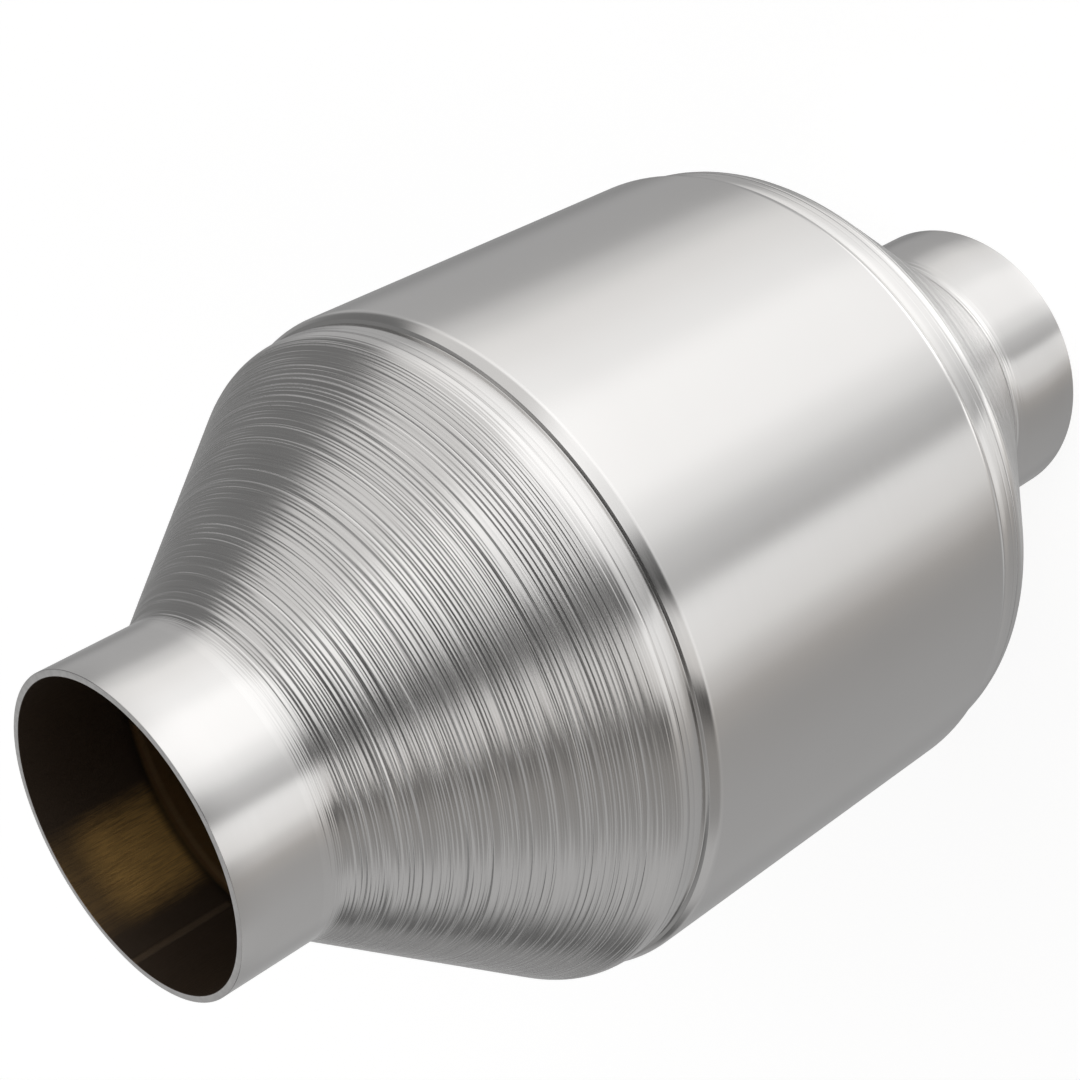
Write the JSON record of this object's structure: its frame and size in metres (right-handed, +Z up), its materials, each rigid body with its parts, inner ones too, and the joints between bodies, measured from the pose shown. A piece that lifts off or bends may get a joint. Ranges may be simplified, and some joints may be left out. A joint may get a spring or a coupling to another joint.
{
  "type": "catalytic converter",
  "caption": "Round spun-body catalytic converter: straight necks, brushed cones, rolled grooves and a smooth barrel round a ceramic honeycomb.",
  "frame": {"origin": "centre of the outlet mouth's rim plane, the lowest face", "axes": "+Z up along the flow axis from the outlet mouth to the inlet mouth; X and Y across the barrel"},
  "size_m": [0.1282, 0.1282, 0.2223],
  "materials": {
    "shell_steel": "satin stainless steel, spun cones with fine turned rings",
    "coated_ceramic": "matt coated ceramic honeycomb",
    "fibre_mat": "compressed fibre mat with mica flakes",
    "knitted_wire": "knitted stainless wire, pressed to a ring"
  },
  "bodies": {
    "root": {"body_shell": "shell_steel", "catalyst_brick": "coated_ceramic", "support_mat": "fibre_mat", "outlet_seal_ring": "knitted_wire", "inlet_seal_ring": "knitted_wire"}
  },
  "joints": []
}
